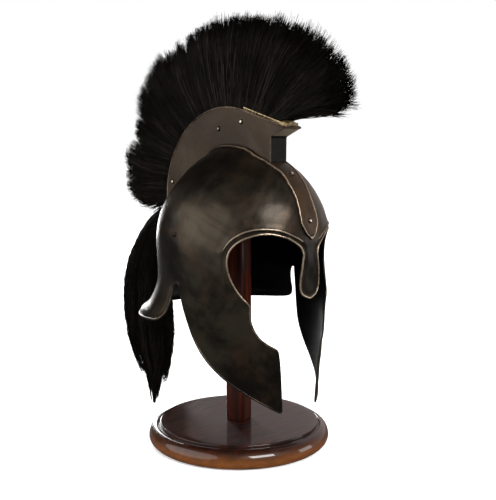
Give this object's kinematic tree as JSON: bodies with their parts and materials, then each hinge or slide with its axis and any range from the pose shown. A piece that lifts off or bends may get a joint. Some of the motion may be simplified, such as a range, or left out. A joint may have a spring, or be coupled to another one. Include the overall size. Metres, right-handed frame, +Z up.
{
  "type": "crested greek bronze helmet on a turned wooden stand",
  "caption": "Dark bronze Greek helmet with cheek pieces, nasal, neck guard and a riveted crest holder with a horsehair plume and tail, on a round lacquered stand.",
  "frame": {"origin": "centre of the stand's underside, on the surface that it stands on", "axes": "+Z up, -Y towards the helmet's face, -X towards the wearer's right"},
  "size_m": [0.2298, 0.4132, 0.5346],
  "materials": {
    "lacquered_wood": "gloss red-brown lacquer",
    "plain_wood": "plain sawn wood",
    "dark_bronze": "near-black patina, satin, worn bright on the edges",
    "brown_bronze": "brown patina, satin, worn bright on the edges",
    "rivet_metal": "rubbed patina",
    "horsehair": "black coarse hair"
  },
  "bodies": {
    "root": {"stand_base": "lacquered_wood", "stand_post": "lacquered_wood", "post_rest": "plain_wood", "helmet_shell": "dark_bronze", "medial_band": "brown_bronze", "crest_box": "brown_bronze", "crest_plume": "horsehair", "crest_tail": "horsehair", "crest_rivet_right_1": "rivet_metal", "crest_rivet_right_2": "rivet_metal", "crest_rivet_right_3": "rivet_metal", "crest_rivet_left_1": "rivet_metal", "crest_rivet_left_2": "rivet_metal", "crest_rivet_left_3": "rivet_metal", "skull_rivet_right": "rivet_metal", "skull_rivet_left": "rivet_metal", "band_rivet_1": "rivet_metal", "band_rivet_2": "rivet_metal"}
  },
  "joints": []
}
